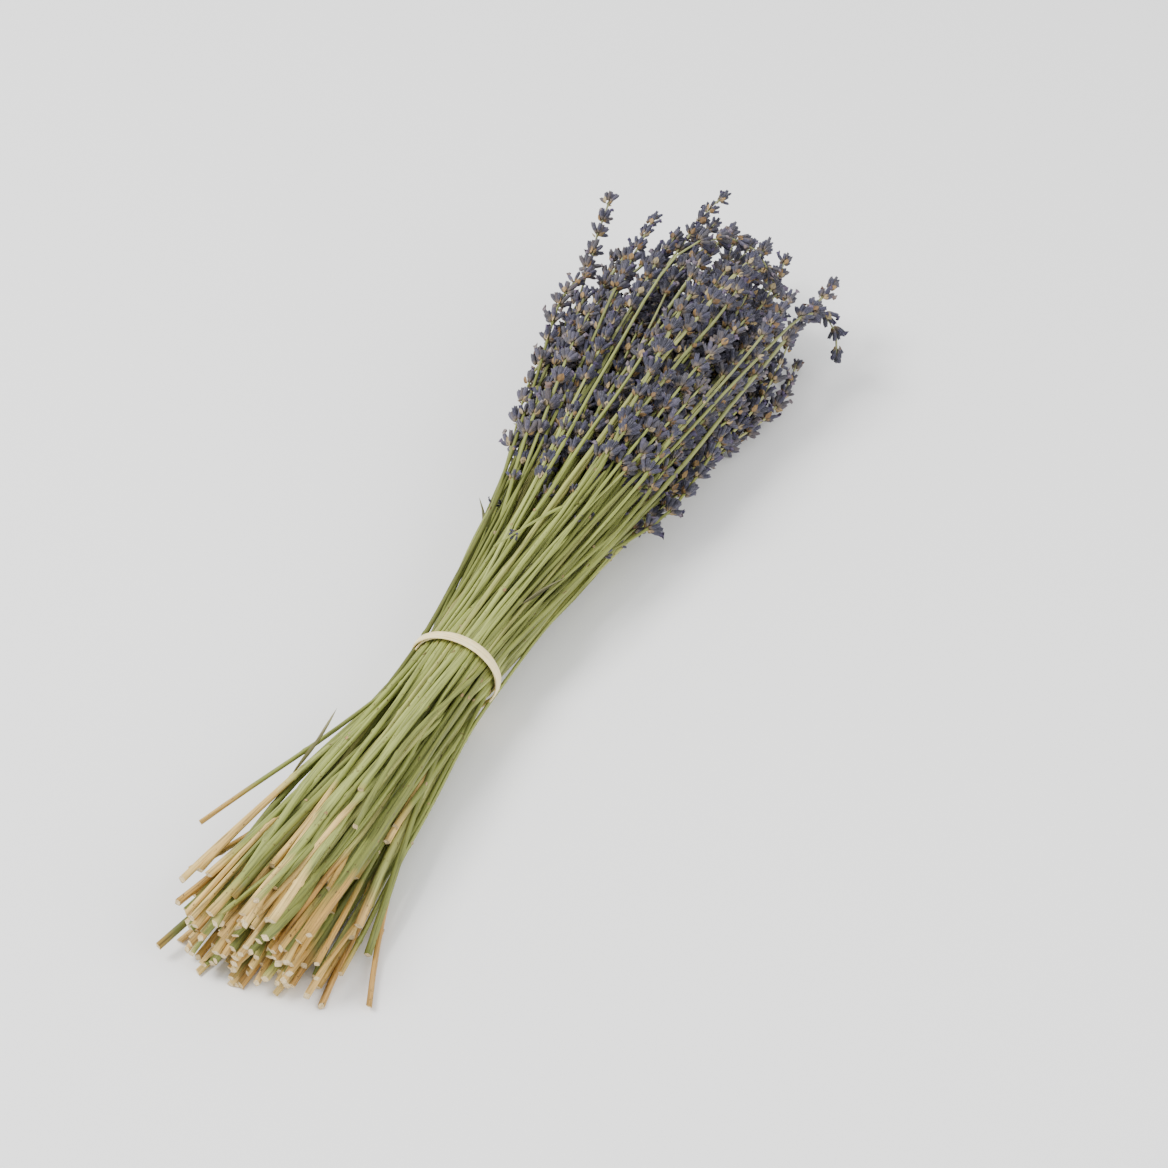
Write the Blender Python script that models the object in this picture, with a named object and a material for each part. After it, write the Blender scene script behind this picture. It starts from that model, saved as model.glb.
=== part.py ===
"""A bunch of dried lavender, tied with a rubber band and lying on a table.

Frame: +X runs from the cut ends to the flower heads, +Y is to the left seen that way, +Z is up
and Z = 0 is the table. The origin is under the middle of the bunch's box. Metres throughout.

Each flower stem is one piece: a square stem that ends in a spike of flower whorls. The stems are
first laid out evenly, and then settle: at stations along the bunch they push each other apart,
rest on the table, and stay inside the rubber band.
"""

import math

import bpy
import numpy as np
from mathutils import Vector

MM = 0.001

# Driving dimensions.
STEM_COUNT = 56
BELOW_BAND = 137 * MM  # rubber band to the furthest cut end
ABOVE_BAND = 265 * MM  # rubber band to the furthest flower tip
STEM_RADIUS = 0.95 * MM  # at the cut end, over the corners
NECK_RADIUS = 0.7 * MM  # just below the spike
WHORL_RADIUS = 4.3 * MM
WAIST_RADIUS = 1.7 * MM  # of the spike, between two whorls
WHORL_PITCH = 8.2 * MM
TIP_RADIUS = 1.1 * MM

# The rubber band is one closed loop that goes round the stems twice.
BAND_WIDTH = 3.4 * MM
BAND_THICKNESS = 0.8 * MM
BAND_APART = 3.9 * MM  # the two turns where they lie side by side
BAND_STACKED = 1.2 * MM  # the two turns where one lies on the other
BAND_SHINGLED = 1.5 * MM  # how far the upper turn lies nearer the cut ends there
BAND_POINTS = 72
BAND_CROSSING = 0.3  # turns, from +Y over the top, to the middle of the stretch they are stacked

# The outline of the bunch: distance from the band, half width, half height, height of the middle.
OUTLINE = [
    (-137, 22, 16, 14, 7),
    (-60, 17, 14, 17, 3),
    (0, 13.2, 11.8, 19.5, 0),
    (57, 19, 15, 20, 0),
    (95, 26, 20, 21, 0),
    (120, 34, 24, 22, 0),
    (160, 46, 30, 25, 0),
    (204, 53, 35, 29, 0),
    (236, 51, 34, 29, 0),
    (265, 39, 27, 28, 0),
]

# Stems that leave the bundle: the stem's number, where it starts to leave, how far it gets by its
# end, sideways and upwards, and how hard it bends there (1 is straight).
STRAYS = [
    {"stem": 49, "from": -30, "side": -29, "up": 4, "bend": 1.8, "cut": -128},
    {"stem": 52, "from": -25, "side": 21, "up": 8, "bend": 1.6, "cut": -108},
    {"stem": 44, "from": -20, "side": 21, "up": 1, "bend": 1.7, "cut": -127},
    {"stem": 36, "from": -25, "side": 18, "up": -4, "bend": 1.8, "cut": -136},
    {"stem": 55, "from": 150, "side": -26, "up": 2, "bend": 2.0, "tip": 252},
    {"stem": 47, "from": 165, "side": 17, "up": 8, "bend": 1.6, "tip": 249},
    {"stem": 50, "from": 170, "side": 6, "up": 0, "bend": 1.6, "tip": 229},
    {"stem": 16, "from": 180, "side": -4, "up": 2, "bend": 1.6, "tip": 261},
    {"stem": 43, "from": 170, "side": 0, "up": 1, "bend": 1.6, "tip": 244},
    {"stem": 31, "from": 190, "side": -12, "up": 6, "bend": 1.8, "tip": 260},
    {"stem": 12, "from": 175, "side": 6, "up": 6, "bend": 1.6, "tip": 265},
]

# How the stems settle.
STATION_PITCH = 5 * MM
CLEARANCE = 0.55 * MM  # kept between two stems
TWIST = math.radians(24)  # of the whole bundle, from the cut ends to the tips
WANDER = 0.15  # how far a stem strays from its even place, as a share of the outline
ROUNDS = 260
LAST_ROUNDS = 120  # in which they only push each other apart
BAND_REACH = 8 * MM  # either side of the band, the stems are held inside it
ROUTE_PITCH = 4 * MM
ROUTE_TOLERANCE = 0.18 * MM  # a stem's straight runs stay this close to its curve

rng = np.random.default_rng(46)


def make_collection(name):
    collection = bpy.data.collections.new(name)
    bpy.context.scene.collection.children.link(collection)
    return collection


def make_material(name, colour, roughness):
    material = bpy.data.materials.new(name)
    material.use_nodes = True
    shader = material.node_tree.nodes["Principled BSDF"]
    shader.inputs["Base Color"].default_value = (*colour, 1)
    shader.inputs["Roughness"].default_value = roughness
    shader.inputs["Metallic"].default_value = 0
    return material


# Laying out the stems.


def stations():
    """Places along the bunch, with the rubber band at 0."""
    count = round((BELOW_BAND + ABOVE_BAND) / STATION_PITCH) + 1
    return np.linspace(-BELOW_BAND, ABOVE_BAND, count)


def outline_at(places):
    """Half width, half height, height of the middle and its shift to the side at these places."""
    table = np.array(OUTLINE) * MM
    around = np.linspace(-12 * MM, 12 * MM, 9)
    near = np.asarray(places)[..., None] + around
    return [np.interp(near, table[:, 0], table[:, column]).mean(-1) for column in range(1, 5)]


def even_disc(count):
    """Evenly spread places in a circle of radius 1, set out as the seeds of a sunflower are."""
    golden_angle = math.pi * (3 - math.sqrt(5))
    number = np.arange(count)
    radius = np.sqrt((number + 0.5) / count)
    return radius, number * golden_angle


def smooth_noise(places):
    """A slow random wave along each stem, two ways, 0 at the band and growing away from it."""
    waves = np.zeros((STEM_COUNT, len(places), 2))
    for length in (0.31, 0.19):
        phase = rng.uniform(0, 2 * math.pi, (STEM_COUNT, 1, 2))
        strength = rng.normal(0, 0.6, (STEM_COUNT, 1, 2))
        turn = 2 * math.pi * places[None, :, None] / length
        waves += strength * (np.sin(turn + phase) - np.sin(phase))
    return waves


def target_places(places, ends):
    """Where each stem would like to run: (stem, station, y or z)."""
    half_width, half_height, middle, shift = outline_at(places)
    radius, angle = even_disc(STEM_COUNT)
    turned = angle[:, None] + TWIST * (places / ABOVE_BAND)[None, :]
    unit = np.stack([np.cos(turned), np.sin(turned)], axis=2) * radius[:, None, None] * 0.94
    unit += WANDER * smooth_noise(places)
    wide = np.stack([half_width, half_height], axis=1)[None]
    target = unit * wide + np.stack([shift, middle], axis=1)[None]
    for stray in STRAYS:
        start = stray["from"] * MM
        end = ends[stray["stem"]][0 if start < 0 else 1]
        share = np.clip((places - start) / (end - start), 0, None) ** stray["bend"]
        outwards = np.array([stray["side"], stray["up"]]) * MM
        target[stray["stem"]] += share[:, None] * outwards
    return target


def stem_ends():
    """Each stem's cut end and flower tip, as distances from the band."""
    raggedness = rng.exponential(9 * MM, STEM_COUNT).clip(0, 40 * MM)
    cuts = -BELOW_BAND + raggedness
    radius, angle = even_disc(STEM_COUNT)
    # The tips of the inner and lower stems reach furthest, so the head of the bunch is rounded.
    lifted = (radius * np.sin(angle + TWIST)).clip(0, 1)
    furthest = ABOVE_BAND - 26 * MM * radius**3 - 22 * MM * lifted
    tips = furthest - rng.beta(1.1, 1.5, STEM_COUNT) * 112 * MM
    cuts[rng.integers(STEM_COUNT)] = -BELOW_BAND
    ends = [[cut, tip] for cut, tip in zip(cuts, tips)]
    for stray in STRAYS:
        if "cut" in stray:
            ends[stray["stem"]][0] = stray["cut"] * MM
        if "tip" in stray:
            ends[stray["stem"]][1] = stray["tip"] * MM
    return ends


def whorl_counts():
    return rng.integers(4, 7, STEM_COUNT)


def thickness_along(places, ends, whorls):
    """The room each stem needs at each station: (stem, station). It is 0 past the stem's ends."""
    room = np.zeros((STEM_COUNT, len(places)))
    for stem, (cut, tip) in enumerate(ends):
        spike = tip - whorls[stem] * WHORL_PITCH
        room[stem, places >= cut - STATION_PITCH] = STEM_RADIUS
        room[stem, places > spike - STATION_PITCH] = WHORL_RADIUS
        room[stem, places > tip + STATION_PITCH] = 0
    return room


def push_apart(at, room, gap):
    """Moves stems that are too close, at each station, away from each other."""
    apart = at[:, None] - at[None]
    distance = np.linalg.norm(apart, axis=3)
    least = room[:, None] + room[None] + gap
    both = (room[:, None] > 0) & (room[None] > 0)
    short = np.where(both, np.clip(least - distance, 0, None), 0)
    for stem in range(STEM_COUNT):
        short[stem, stem] = 0
    direction = apart / np.maximum(distance, 1e-6)[..., None]
    # A thin stem gives way to a spike.
    yielding = room[None] ** 2 / np.maximum(room[:, None] ** 2 + room[None] ** 2, 1e-12)
    move = (direction * (short * yielding)[..., None]).sum(axis=1)
    return at + 0.7 * move, short.max()


def keep_in_bounds(at, room, places):
    """Keeps the stems on the table, and inside the rubber band where it holds them."""
    half_width, half_height, middle, shift = outline_at(0)
    at[..., 1] = np.maximum(at[..., 1], room + 0.02 * MM)
    held = np.abs(places) <= BAND_REACH
    inside = np.array([half_width, half_height]) - room[:, held, None]
    centre = np.array([shift, middle])
    offset = (at[:, held] - centre) / inside
    excess = np.maximum(np.linalg.norm(offset, axis=2, keepdims=True), 1)
    at[:, held] = centre + offset / excess * inside
    return at


def straighten(at, strength):
    """Takes the kinks out of each stem."""
    bend = at[:, :-2] - 2 * at[:, 1:-1] + at[:, 2:]
    at[:, 1:-1] += strength * bend
    return at


def settle(places, ends, whorls):
    """Where each stem runs, once none is inside another."""
    target = target_places(places, ends)
    room = thickness_along(places, ends, whorls)
    at = target.copy()
    for turn in range(ROUNDS):
        fading = 1 - turn / ROUNDS
        at += 0.04 * fading * (target - at)
        at[..., 1] -= 0.03 * MM * fading
        at = straighten(at, 0.24)
        at = straighten(at, 0.24)
        for _ in range(2):
            at, _ = push_apart(at, room, CLEARANCE)
        at = keep_in_bounds(at, room, places)
    for _ in range(LAST_ROUNDS):
        at = straighten(at, 0.03)
        at, _ = push_apart(at, room, CLEARANCE)
        at = keep_in_bounds(at, room, places)
    _, closest = push_apart(at, room, 0)
    print(f"stems settled, worst overlap {closest / MM:.3f} mm")
    return at


# Making the pieces.


def route(points, places, start, end):
    """Points along a stem from one place to another, closer together where it bends more."""
    count = round((end - start) / ROUTE_PITCH) + 1
    along = np.linspace(start, end, count)
    return thin_out([point_at(points, places, place) for place in along])


def thin_out(points):
    """Leaves out the points that a straight run between their neighbours passes closely."""
    run = points[-1] - points[0]
    strayed = [(point - points[0]).cross(run).length / run.length for point in points]
    furthest = max(range(len(points)), key=strayed.__getitem__)
    if strayed[furthest] < ROUTE_TOLERANCE:
        return [points[0], points[-1]]
    return thin_out(points[: furthest + 1])[:-1] + thin_out(points[furthest:])


def point_at(points, places, place):
    y = np.interp(place, places, points[:, 0])
    z = np.interp(place, places, points[:, 1])
    return Vector((place, y, z))


def make_flower_stem(name, points, places, ends, whorls, material, collection):
    """A stem and its spike as one tube, whose radius swells at each whorl."""
    cut, tip = ends
    spike = tip - whorls * WHORL_PITCH
    rings = []
    for point in route(points, places, cut, spike - 2 * MM):
        share = (point.x - cut) / (spike - cut)
        rings.append((point, STEM_RADIUS + (NECK_RADIUS - STEM_RADIUS) * share))
    for whorl in range(whorls):
        base = spike + whorl * WHORL_PITCH
        narrowing = 1 - 0.3 * (whorl / whorls) ** 2
        waist = WAIST_RADIUS if whorl else NECK_RADIUS * 1.3
        rings.append((point_at(points, places, base), waist))
        swell = base + 0.45 * WHORL_PITCH
        rings.append((point_at(points, places, swell), WHORL_RADIUS * narrowing))
    rings.append((point_at(points, places, tip), TIP_RADIUS))

    curve = bpy.data.curves.new(name, "CURVE")
    curve.dimensions = "3D"
    curve.bevel_depth = 1
    curve.bevel_resolution = 1
    curve.use_fill_caps = True
    spline = curve.splines.new("POLY")
    spline.points.add(len(rings) - 1)
    for point, (place, radius) in zip(spline.points, rings):
        point.co = (*place, 1)
        point.radius = radius
    curve.materials.append(material)
    stem = bpy.data.objects.new(name, curve)
    collection.objects.link(stem)
    return stem


def eased(share):
    """Rises smoothly from 0 at 0 to 1 at 1, and stays there."""
    share = min(max(share, 0), 1)
    return share * share * (3 - 2 * share)


def band_point(turn):
    """A point on the rubber band's middle line; turn runs from 0 to 2, once for each winding.

    The windings are stacked over the top, part at the sides, and change places underneath."""
    half_width, half_height, _, _ = outline_at(0)
    angle = 2 * math.pi * turn
    phase = math.pi * (turn - BAND_CROSSING)
    parted = eased((abs(math.sin(phase)) - 0.5) / 0.4)
    sideways = -0.5 * BAND_APART * math.copysign(parted, math.sin(phase))
    sideways -= 0.5 * BAND_SHINGLED * math.cos(phase)
    stacked = 0.5 * BAND_STACKED * math.tanh(4 * math.cos(phase))
    clear = 0.5 * BAND_THICKNESS + 0.5 * BAND_STACKED + 0.3 * MM
    wide = half_width + clear + stacked
    high = half_height + clear + stacked
    return Vector((wide * math.cos(angle), high * math.sin(angle), sideways))


def make_rubber_band(material, collection):
    """A flat strap bent into a closed loop that winds twice. It is made lying in the XY plane,
    where a strap keeps its width along Z, and then turned to stand round the stems."""
    curve = bpy.data.curves.new("rubber_band", "CURVE")
    curve.dimensions = "3D"
    curve.twist_mode = "Z_UP"
    curve.bevel_depth = 0.5 * BAND_THICKNESS
    curve.bevel_resolution = 0
    curve.extrude = 0.5 * (BAND_WIDTH - BAND_THICKNESS)
    spline = curve.splines.new("POLY")
    spline.points.add(BAND_POINTS - 1)
    for number, point in enumerate(spline.points):
        point.co = (*band_point(2 * number / BAND_POINTS), 1)
    spline.use_cyclic_u = True
    curve.materials.append(material)
    band = bpy.data.objects.new("rubber_band", curve)
    # The strap's X becomes the bunch's Y, its Y becomes Z, and its Z becomes X.
    band.rotation_euler = (math.pi / 2, 0, math.pi / 2)
    _, _, middle, shift = outline_at(0)
    band.location = (0, shift, middle)
    collection.objects.link(band)
    return band


def corners_of(pieces):
    """The lowest and highest corner of these objects together."""
    bpy.context.view_layer.update()
    graph = bpy.context.evaluated_depsgraph_get()
    corners = []
    for piece in pieces:
        evaluated = piece.evaluated_get(graph)
        mesh = evaluated.to_mesh()
        places = np.empty(3 * len(mesh.vertices), np.float32)
        mesh.vertices.foreach_get("co", places)
        turn = np.array(piece.matrix_world)
        world = places.reshape(-1, 3) @ turn[:3, :3].T + turn[:3, 3]
        corners += [world.min(axis=0), world.max(axis=0)]
        evaluated.to_mesh_clear()
    return np.min(corners, axis=0), np.max(corners, axis=0)


def main():
    for old in list(bpy.data.objects):
        bpy.data.objects.remove(old, do_unlink=True)
    collection = make_collection("lavender_bunch")
    dried_plant = make_material("dried_lavender", (0.30, 0.29, 0.22), 0.85)
    rubber = make_material("natural_rubber", (0.80, 0.68, 0.47), 0.6)

    places = stations()
    ends = stem_ends()
    whorls = whorl_counts()
    at = settle(places, ends, whorls)
    pieces = [make_rubber_band(rubber, collection)]
    for stem in range(STEM_COUNT):
        name = f"flower_stem_{stem + 1:02d}"
        pieces.append(
            make_flower_stem(
                name, at[stem], places, ends[stem], whorls[stem], dried_plant, collection
            )
        )

    low, high = corners_of(pieces)
    offset = Vector((-(low[0] + high[0]) / 2, -(low[1] + high[1]) / 2, -low[2]))
    for piece in pieces:
        piece.location += offset
    size = (high - low) / MM
    print(f"the bunch is {size[0]:.0f} x {size[1]:.0f} x {size[2]:.0f} mm")
    print(f"the band is at x = {offset.x / MM:.1f} mm, y = {offset.y / MM:.1f} mm")


main()
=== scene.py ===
# %% [markdown]
# # A bunch of dried lavender
# Nearly two hundred cut lavender stems, dried and held together by a rubber band, lie on a
# table. The solids hold the band and fifty-six of the stems. This lesson grows a real looking
# stem on each of those, adds the thinner stems between them, and gives each surface its finish.

# %% Load the solids
import math

import bmesh
import bpy
import numpy as np
from mathutils import Matrix, Vector


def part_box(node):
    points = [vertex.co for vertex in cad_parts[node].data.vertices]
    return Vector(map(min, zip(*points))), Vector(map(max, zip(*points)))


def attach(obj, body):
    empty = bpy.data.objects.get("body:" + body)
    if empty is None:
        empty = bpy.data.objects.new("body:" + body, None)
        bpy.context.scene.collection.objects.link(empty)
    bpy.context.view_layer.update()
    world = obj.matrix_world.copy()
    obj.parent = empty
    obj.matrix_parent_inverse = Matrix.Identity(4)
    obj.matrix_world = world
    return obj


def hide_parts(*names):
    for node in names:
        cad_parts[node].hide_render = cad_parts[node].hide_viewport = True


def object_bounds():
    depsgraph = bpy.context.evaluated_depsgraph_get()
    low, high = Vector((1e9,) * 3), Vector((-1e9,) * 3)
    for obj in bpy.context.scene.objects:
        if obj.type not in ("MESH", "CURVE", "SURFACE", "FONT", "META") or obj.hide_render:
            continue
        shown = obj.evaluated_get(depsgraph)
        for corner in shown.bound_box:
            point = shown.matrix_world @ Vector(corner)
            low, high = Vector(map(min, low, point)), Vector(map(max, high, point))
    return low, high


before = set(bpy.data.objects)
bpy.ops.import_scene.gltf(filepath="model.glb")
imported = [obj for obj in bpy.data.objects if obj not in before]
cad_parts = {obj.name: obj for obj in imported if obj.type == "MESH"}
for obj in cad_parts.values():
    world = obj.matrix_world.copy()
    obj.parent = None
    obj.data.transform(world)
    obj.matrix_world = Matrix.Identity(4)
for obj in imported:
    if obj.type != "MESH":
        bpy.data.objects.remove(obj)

MM = 0.001
FULL_TURN = 6.28  # radians, near enough for an angle left to chance
cad_low, cad_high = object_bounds()
stem_nodes = sorted(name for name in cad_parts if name.startswith("flower_stem"))
band_low, band_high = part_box("rubber_band")
band_middle = (band_low + band_high) / 2
print(f"{len(stem_nodes)} stems and a band in {(cad_high - cad_low) / MM}")

# %% [markdown]
# ## The stage
# The floor is plain and pale, and the light is that of a bright, cloudy studio: one large soft
# lamp high on the left, a weaker one on the right, and a pale sky that lifts the shadows.

# %% Colours from hex
def linear(colour):
    """A colour such as "#a6a673", or a grey from 0 to 1, as linear red, green, blue and alpha."""
    if not isinstance(colour, str):
        colour = "#" + f"{round(colour * 255):02x}" * 3
    values = [int(colour[i : i + 2], 16) / 255 for i in (1, 3, 5)]
    return [v / 12.92 if v <= 0.04045 else ((v + 0.055) / 1.055) ** 2.4 for v in values] + [1]

print("mid green, linear:", [round(v, 3) for v in linear("#96986a")])

# %% A material, and one function that adds its nodes
def new_material(name, **sockets):
    """A Principled material whose constant values go on the shader's own sockets."""
    material = bpy.data.materials.new(name)
    material.use_nodes = True
    shader = material.node_tree.nodes["Principled BSDF"]
    for socket, value in sockets.items():
        shader.inputs[socket.replace("_", " ")].default_value = value
    return material, shader

def join(material, node, links):
    """Joins a node's inputs to outputs, or to the first output in use of the nodes given."""
    for key, source in dict(links).items():
        if isinstance(source, bpy.types.Node):
            source = next(output for output in source.outputs if output.enabled)
        material.node_tree.links.new(source, node.inputs[key])

def add(material, kind, settings=(), links=()):
    """Adds a node. Settings name its properties, its inputs, or a ramp's {position: colour}."""
    node = material.node_tree.nodes.new("ShaderNode" + kind)
    for key, value in dict(settings).items():
        if key == "stops":
            elements = node.color_ramp.elements
            while len(elements) < len(value):
                elements.new(0.5)
            for element, (position, colour) in zip(elements, sorted(value.items())):
                element.position, element.color = position, linear(colour)
        elif isinstance(key, str) and hasattr(node, key):
            setattr(node, key, value)
        else:
            node.inputs[key].default_value = value
    join(material, node, links)
    return node

# %% Meshes and objects
def to_mesh(name, bm):
    """Turns a finished bmesh into a mesh."""
    mesh = bpy.data.meshes.new(name)
    bm.to_mesh(mesh)
    bm.free()
    return mesh

def corners_of(mesh, number=np.float32):
    """A mesh's corners, as rows of x, y and z."""
    corners = np.empty(3 * len(mesh.vertices), number)
    mesh.vertices.foreach_get("co", corners)
    return corners.reshape(-1, 3)

def put_in_scene(name, data):
    """An object that shows this mesh, lamp or camera."""
    made = bpy.data.objects.new(name, data)
    bpy.context.collection.objects.link(made)
    return made

# %% The floor
FLOOR_HALF = 6  # metres
floor_material, floor_shader = new_material("matt_studio_paper", Roughness=0.9)
floor_shader.inputs["Base Color"].default_value = linear("#f4f3f1")
bm = bmesh.new()
bmesh.ops.create_grid(bm, x_segments=1, y_segments=1, size=FLOOR_HALF)
floor = put_in_scene("floor", to_mesh("floor", bm))
floor.data.materials.append(floor_material)
print("the floor is", 2 * FLOOR_HALF, "m wide")

# %% The lamps and the sky
def soft_lamp(name, place, size, watts):
    """A round lamp that faces the middle of the table."""
    lamp = bpy.data.lights.new(name, "AREA")
    lamp.shape = "DISK"
    lamp.size = size
    lamp.energy = watts
    lamp_object = put_in_scene(name, lamp)
    lamp_object.location = place
    lamp_object.rotation_euler = (-Vector(place)).to_track_quat("-Z", "Y").to_euler()

soft_lamp("key", (-0.5, 0.9, 1.5), 0.9, 41)
soft_lamp("fill", (-0.3, -1.3, 0.9), 1.2, 15)
world = bpy.data.worlds.new("pale_studio")
world.use_nodes = True
sky = world.node_tree.nodes["Background"]
sky.inputs["Color"].default_value = (0.95, 0.97, 1, 1)
sky.inputs["Strength"].default_value = 1.15
bpy.context.scene.world = world
print("lamps:", [lamp.name for lamp in bpy.data.lights])

# %% The camera
# It looks down from behind the cut ends, so the bunch leads up and to the right.
camera_data = bpy.data.cameras.new("camera")
camera_data.lens = 89.9
camera_data.sensor_width = 36
camera = put_in_scene("camera", camera_data)
camera.location = band_middle + Vector((-0.629, -0.3205, 0.6357))
look = band_middle + Vector((0.0553, -0.0213, 0)) - camera.location
camera.rotation_euler = look.to_track_quat("-Z", "Y").to_euler()
bpy.context.scene.camera = camera
tilt = math.degrees(math.asin(-look.normalized().z))
print(f"the camera is {look.length:.2f} m away, {tilt:.0f} degrees up")

# %% [markdown]
# ## Reading the stems
# A stem in the solids is a tube that swells at each whorl of flowers. To grow a real one in the
# same place, each tube is cut by planes across the bunch: the middle of each cut gives the
# stem's course, and the places where the cut is widest give its whorls. A course is a list of
# points with the distance along it.

# %% Cut a tube by planes
SECTION_STEP, FIRST_SECTION = 1.5 * MM, 0.6 * MM

def sections(node):
    """The middles and radii of a solid's sections, all along the bunch."""
    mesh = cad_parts[node].data
    corners = corners_of(mesh, float)
    ends = np.empty(2 * len(mesh.edges), int)
    mesh.edges.foreach_get("vertices", ends)
    start, end = corners[ends[::2]], corners[ends[1::2]]
    middles, radii = [], []
    first = corners[:, 0].min() + FIRST_SECTION
    for place in np.arange(first, corners[:, 0].max(), SECTION_STEP):
        crossed = (start[:, 0] - place) * (end[:, 0] - place) < 0
        a, b = start[crossed], end[crossed]
        cut = a + (b - a) * ((place - a[:, :1]) / (b[:, :1] - a[:, :1]))
        middle = (cut.min(axis=0) + cut.max(axis=0)) / 2
        middles.append(middle)
        radii.append(np.linalg.norm(cut - middle, axis=1).max())
    return np.array(middles), np.array(radii)

# %% A course, and where one is at a distance along it
def make_course(points):
    """A course through these points."""
    points = np.array(points)
    steps = np.linalg.norm(np.diff(points, axis=0), axis=1)
    return {"points": points, "along": np.concatenate([[0], np.cumsum(steps)])}

def on_course(course, distance):
    """The places at these distances."""
    return np.stack([np.interp(distance, course["along"], row) for row in course["points"].T], -1)

def heading(course, distance):
    """The stem's direction at these distances."""
    reach = 3 * MM
    last = course["along"][-1]
    ahead = on_course(course, np.minimum(distance + reach, last))
    behind = on_course(course, np.maximum(distance - reach, 0))
    step = ahead - behind
    return step / np.linalg.norm(step, axis=-1, keepdims=True)

# %% The stems of the solids
WHORL_RADIUS = 4.3 * MM  # of a full whorl in the solids
LEAST_WHORL = 2.2 * MM
solid_stems = {}
for node in stem_nodes:
    middles, radii = sections(node)
    course = make_course(middles)
    here = radii[1:-1]
    widest = (here >= radii[:-2]) & (here > radii[2:]) & (here > LEAST_WHORL)
    course["whorls"] = [(course["along"][i], radii[i] / WHORL_RADIUS)
                        for i in np.flatnonzero(widest) + 1]
    solid_stems[node] = course
lengths = [course["along"][-1] / MM for course in solid_stems.values()]
print(f"stems of {min(lengths):.0f} to {max(lengths):.0f} mm")
print("whorls on the first:", [round(d / MM) for d, _ in solid_stems[stem_nodes[0]]["whorls"]])

# %% [markdown]
# ## The stems between them
# The other stems run with their neighbours. Each one starts as a mixture of two stems of the
# solids, so it bends as the bunch does, and then a short relaxation pushes it clear of the
# others. The best of several random places is kept each time, which spreads them evenly.

# %% The courses of the solids at shared places
PLACE_STEP = 7 * MM
rng = np.random.default_rng(7)
places = np.arange(cad_low.x, cad_high.x + 1 * MM, PLACE_STEP)
from_band = places - band_middle.x
fixed = np.stack([
    np.stack([np.interp(places, c["points"][:, 0], c["points"][:, i]) for i in (1, 2)], -1)
    for c in solid_stems.values()
])
fixed_ends = np.array([c["points"][[0, -1], 0] for c in solid_stems.values()])
print(f"{fixed.shape[0]} stems at {fixed.shape[1]} places")

# %% Choose a home for each further stem
FURTHER, TRIES = 132, 30
STRAY = 17 * MM  # this far from its second neighbour, a stem runs on its own
levels = [int(np.argmin(abs(from_band - level * MM))) for level in (-110, 190)]
at_heads = levels[1]
spread_apart = np.linalg.norm(fixed[:, None] - fixed[None], axis=3)[:, :, levels]
strays = np.sort(spread_apart.max(axis=2), axis=1)[:, 2] > STRAY
inside = np.flatnonzero(~strays)
homes = list(fixed[inside])
further = []
for _ in range(FURTHER):
    best, most_room = None, -1
    for _ in range(TRIES):
        first, second = rng.choice(inside, 2, replace=False)
        share = rng.uniform(0.3, 0.7)
        mixed = share * fixed[first] + (1 - share) * fixed[second]
        room = np.linalg.norm(np.array(homes)[:, levels] - mixed[levels], axis=2).min(axis=0)
        # Neighbours make the likeliest pair, or all the stems would gather in the middle.
        apart = np.linalg.norm(fixed[first] - fixed[second], axis=1)[at_heads]
        score = room.sum() - 0.18 * apart
        if score > most_room:
            best, most_room = mixed, score
    homes.append(best)
    further.append(best)
further = np.array(further)
print(f"{strays.sum()} stray stems are left alone, {FURTHER} stems added")

# %% Loosen them
# Each gets slow waves, which grow with the distance from the band.
WAVES = (0.33, 0.21, 0.12)  # metres
LOOSE_BELOW, LOOSE_ABOVE = 120 * MM, 200 * MM
loose_after = np.where(from_band < 0, LOOSE_BELOW, LOOSE_ABOVE)
spread = np.clip(np.abs(from_band) / loose_after, 0, 1)[None, :, None]
for length in WAVES:
    phase = rng.uniform(0, 2 * math.pi, (FURTHER, 1, 2))
    strength = rng.normal(0, 18 * MM * length, (FURTHER, 1, 2))
    wave = np.sin(2 * math.pi * from_band[None, :, None] / length + phase)
    further = further + spread * strength * wave
# Below the band they cross each other more.
aside = rng.normal(0, 1, (FURTHER, 1, 2)) * np.array([4.5 * MM, 3 * MM])
further = further + aside * np.clip(-from_band / LOOSE_BELOW, 0, 1)[None, :, None]
print(f"at the cut ends they move {abs(aside[..., 0]).mean() / MM:.1f} mm aside on average")

# %% Where they are cut, and how far they reach
LONGEST_LOSS = 66 * MM
ragged = rng.exponential(11 * MM, FURTHER)
cut_short = rng.uniform(24 * MM, LONGEST_LOSS, FURTHER)
lost = np.where(rng.random(FURTHER) < 0.3, cut_short, ragged)
cuts = cad_low.x + lost.clip(1 * MM, LONGEST_LOSS)
head_middle = fixed[:, at_heads].mean(axis=0)
off_axis = (further[:, at_heads] - head_middle) / (40 * MM, 26 * MM)
# The upper stems are the shorter ones, so their spikes lie over the stems of the others.
lift = off_axis[:, 1].clip(-1, 1)
drop = rng.beta(1.15, 1.35, FURTHER) ** (1 - 0.5 * lift)
rounding = np.linalg.norm(off_axis, axis=1).clip(0, 1) ** 2
tips = cad_high.x - (6 + 26 * rounding + 18 * lift.clip(0, 1)) * MM - drop * 108 * MM
further_ends = np.stack([cuts, tips], 1)
print(f"they are {(tips - cuts).min() / MM:.0f} to {(tips - cuts).max() / MM:.0f} mm long")

# %% How much room each needs
SPIKE = 48 * MM

def room_along(ends, stem_room, spike_room):
    """The radius that a stem keeps clear at each place: none beyond its ends."""
    x = places[None]
    present = (x > ends[:, :1] - PLACE_STEP) & (x < ends[:, 1:] + PLACE_STEP)
    spike = x > ends[:, 1:] - SPIKE
    return np.where(present, np.where(spike, spike_room, stem_room), 0)

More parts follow.
